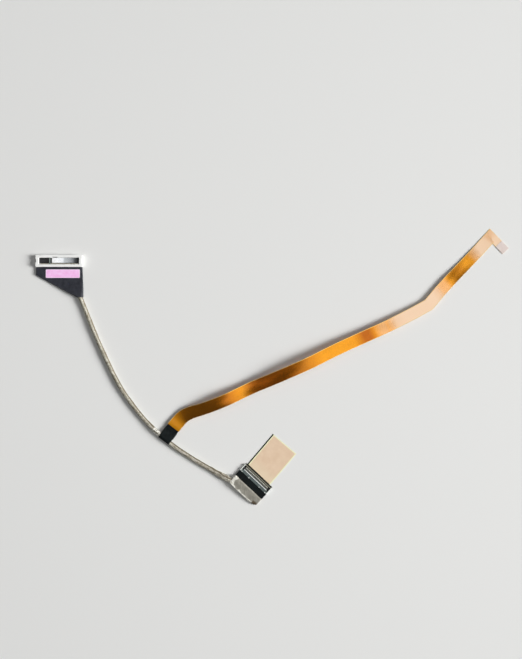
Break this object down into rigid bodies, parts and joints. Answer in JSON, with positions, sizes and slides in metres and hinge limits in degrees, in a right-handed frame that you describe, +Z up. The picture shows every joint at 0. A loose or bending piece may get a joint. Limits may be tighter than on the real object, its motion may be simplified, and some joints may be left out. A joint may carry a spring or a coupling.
{
  "type": "flat flex cable",
  "caption": "Display cable lying flat: round wire bundle between a white board plug and a stamped display plug, with an amber flat flex branch and an adhesive flag.",
  "frame": {"origin": "middle of the cable's footprint, on the surface that it lies on", "axes": "+Z up from the surface, +X from the board plug towards the flex's stiffened tip"},
  "size_m": [0.255, 0.1491, 0.0051],
  "materials": {
    "white_moulding": "semi-gloss moulded",
    "black_moulding": "matt moulded",
    "plate_steel": "polished sheet",
    "plated_contact": "gold-flashed",
    "tinned_bar": "tinned",
    "black_tape": "acetate cloth",
    "label_paper": "satin",
    "conductive_cloth": "silvered weave",
    "foil": "crumpled foil",
    "polyimide": "glossy film",
    "stiffener": "satin film",
    "wire_jacket": "extruded",
    "adhesive": "tacky",
    "liner_paper": "release paper"
  },
  "bodies": {
    "root": {"board_housing": "white_moulding", "board_insert": "black_moulding", "board_contacts": "plated_contact", "board_shield": "plate_steel", "board_wires": "wire_jacket", "board_ground_bar": "tinned_bar", "board_tape": "black_tape", "board_label": "label_paper", "bundle": "conductive_cloth", "foil_band": "foil", "splice_tape": "black_tape", "splice_wires": "wire_jacket", "flex_tail_stiffener": "stiffener", "flex": "polyimide", "tip_stiffener": "stiffener", "tip_contacts": "plated_contact", "lcd_shell": "plate_steel", "lcd_body": "black_moulding", "lcd_contacts": "plated_contact", "lcd_wires": "wire_jacket", "lcd_ground_bar": "tinned_bar", "lcd_tape_band": "black_tape", "lcd_foil_wrap": "foil", "lcd_tape_flag": "black_tape", "lcd_adhesive": "adhesive", "release_liner": "liner_paper"}
  },
  "joints": []
}
